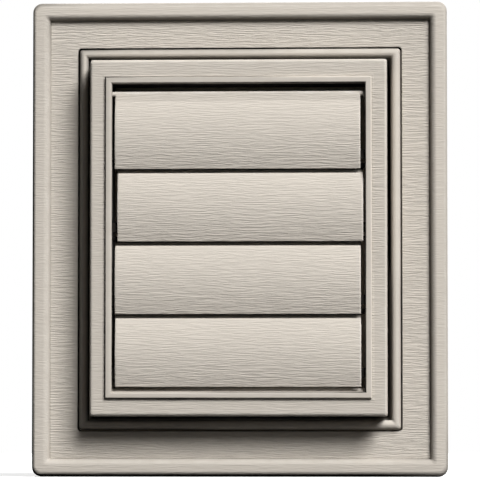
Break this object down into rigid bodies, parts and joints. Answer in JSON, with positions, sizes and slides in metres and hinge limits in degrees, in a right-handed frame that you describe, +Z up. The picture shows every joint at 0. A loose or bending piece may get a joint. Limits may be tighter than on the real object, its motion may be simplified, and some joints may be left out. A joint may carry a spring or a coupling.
{
  "type": "louvred exhaust siding vent",
  "caption": "Moulded exhaust vent for a sided wall: louvred hood on a nailing base with a round duct collar, and a clip-on trim ring.",
  "frame": {"origin": "on the duct collar's axis, in the plane of the nailing flange's back face, which lies on the wall", "axes": "+X to the right as seen from the front, +Y back into the wall along the duct, +Z up"},
  "size_m": [0.1778, 0.0754, 0.2032],
  "materials": {
    "base_plastic": "smooth satin moulding, warm pale grey",
    "hood_plastic": "fine embossed wood grain, warm pale grey",
    "ring_plastic": "fine embossed wood grain, warm pale grey",
    "louvre_plastic": "fine embossed wood grain, warm pale grey"
  },
  "bodies": {
    "vent_body": {"mounting_base": "base_plastic", "louvre_hood": "hood_plastic", "trim_ring": "ring_plastic"},
    "flap_1": {"louvre_1": "louvre_plastic"},
    "flap_2": {"louvre_2": "louvre_plastic"},
    "flap_3": {"louvre_3": "louvre_plastic"},
    "flap_4": {"louvre_4": "louvre_plastic"}
  },
  "joints": [
    {"name": "louvre_1_swing", "type": "hinge", "parent": "vent_body", "child": "flap_1", "pos_m": [0, -0.0275, 0.06135], "axis": [-1, 0, 0], "range_deg": [0, 60]},
    {"name": "louvre_2_swing", "type": "hinge", "parent": "vent_body", "child": "flap_2", "pos_m": [0, -0.0275, 0.03045], "axis": [-1, 0, 0], "range_deg": [0, 60]},
    {"name": "louvre_3_swing", "type": "hinge", "parent": "vent_body", "child": "flap_3", "pos_m": [0, -0.0275, -0.00045], "axis": [-1, 0, 0], "range_deg": [0, 60]},
    {"name": "louvre_4_swing", "type": "hinge", "parent": "vent_body", "child": "flap_4", "pos_m": [0, -0.0275, -0.03135], "axis": [-1, 0, 0], "range_deg": [0, 60]}
  ]
}
